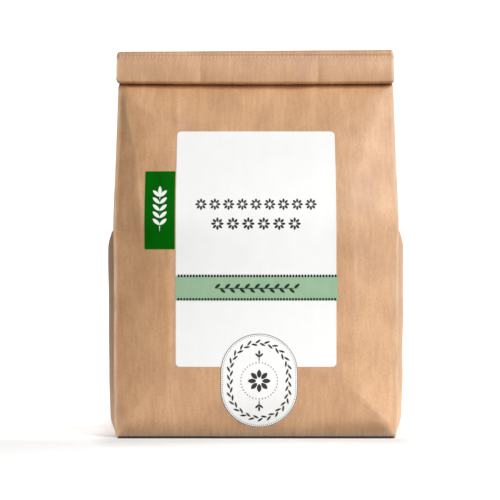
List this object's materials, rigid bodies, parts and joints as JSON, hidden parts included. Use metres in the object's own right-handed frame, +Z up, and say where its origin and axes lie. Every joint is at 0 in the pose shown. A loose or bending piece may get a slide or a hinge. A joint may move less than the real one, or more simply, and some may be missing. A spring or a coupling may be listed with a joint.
{
  "type": "block-bottom paper bag",
  "caption": "Shut, filled block-bottom bag of brown kraft paper, its top folded over, with a white label crossed by a green band, a green tab and a long round-ended seal.",
  "frame": {"origin": "middle of the base, on the floor, midway between the front and back creases", "axes": "+Z up, along the bag's height; the labelled front faces -Y; +X is to the right seen from the front"},
  "size_m": [0.1274, 0.0856, 0.1644],
  "materials": {
    "kraft_paper": "matte",
    "white_label_paper": "matte",
    "dark_green_sticker": "satin",
    "sage_green_print": "matte",
    "white_seal_paper": "matte"
  },
  "bodies": {
    "root": {"bag": "kraft_paper", "label": "white_label_paper", "tab": "dark_green_sticker", "band": "sage_green_print", "seal": "white_seal_paper"}
  },
  "joints": []
}
